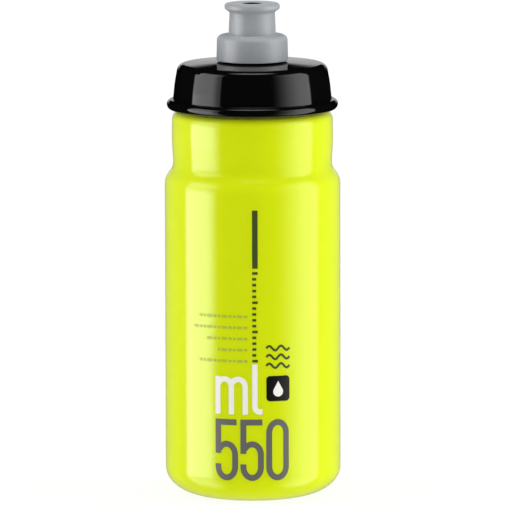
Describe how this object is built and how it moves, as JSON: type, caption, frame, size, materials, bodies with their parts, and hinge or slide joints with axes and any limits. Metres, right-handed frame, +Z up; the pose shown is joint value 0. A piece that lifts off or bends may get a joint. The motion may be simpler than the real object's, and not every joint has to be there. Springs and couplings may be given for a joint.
{
  "type": "bicycle water bottle",
  "caption": "Squeeze bottle for a bicycle cage: round translucent body with a cage groove, threaded screw cap and push-pull drinking valve.",
  "frame": {"origin": "centre of the flat ring that the bottle stands on", "axes": "+Z up along the bottle's axis, towards the drinking valve; -Y is the printed side"},
  "size_m": [0.074, 0.074, 0.208],
  "materials": {
    "body_plastic": "smooth translucent blow-moulded low-density polyethylene, fluorescent yellow-green",
    "cap_plastic": "high-gloss black moulded polypropylene",
    "stem_plastic": "black moulded plastic, satin",
    "core_plastic": "black moulded polypropylene, satin",
    "mouthpiece_soft": "soft grey thermoplastic elastomer, satin",
    "seal_silicone": "milky silicone, satin",
    "seal_rubber": "black rubber O-ring",
    "ink_dark": "screen-printed dark grey ink",
    "ink_grey": "screen-printed grey ink",
    "ink_white": "screen-printed white ink"
  },
  "bodies": {
    "bottle": {"bottle_body": "body_plastic"},
    "gasket": {"cap_gasket": "seal_silicone"},
    "cap": {"screw_cap": "cap_plastic", "valve_stem": "stem_plastic", "stem_gasket": "seal_silicone", "stem_seal_ring": "seal_rubber"},
    "nozzle": {"nozzle_core": "core_plastic", "mouthpiece": "mouthpiece_soft"}
  },
  "joints": [
    {"name": "cap_lift", "type": "slide", "parent": "bottle", "child": "gasket", "axis": [0, 0, 1], "range_m": [0, 0.0151]},
    {"name": "cap_turn", "type": "hinge", "parent": "gasket", "child": "cap", "pos_m": [0, 0, 0.1634], "axis": [0, 0, 1], "range_deg": [0, 1080]},
    {"name": "nozzle_slide", "type": "slide", "parent": "cap", "child": "nozzle", "axis": [0, 0, 1], "range_m": [0, 0.005]}
  ],
  "couplings": [
    {"joint": "cap_lift", "follows": "cap_turn", "m_per_rad": 0.00079577}
  ]
}
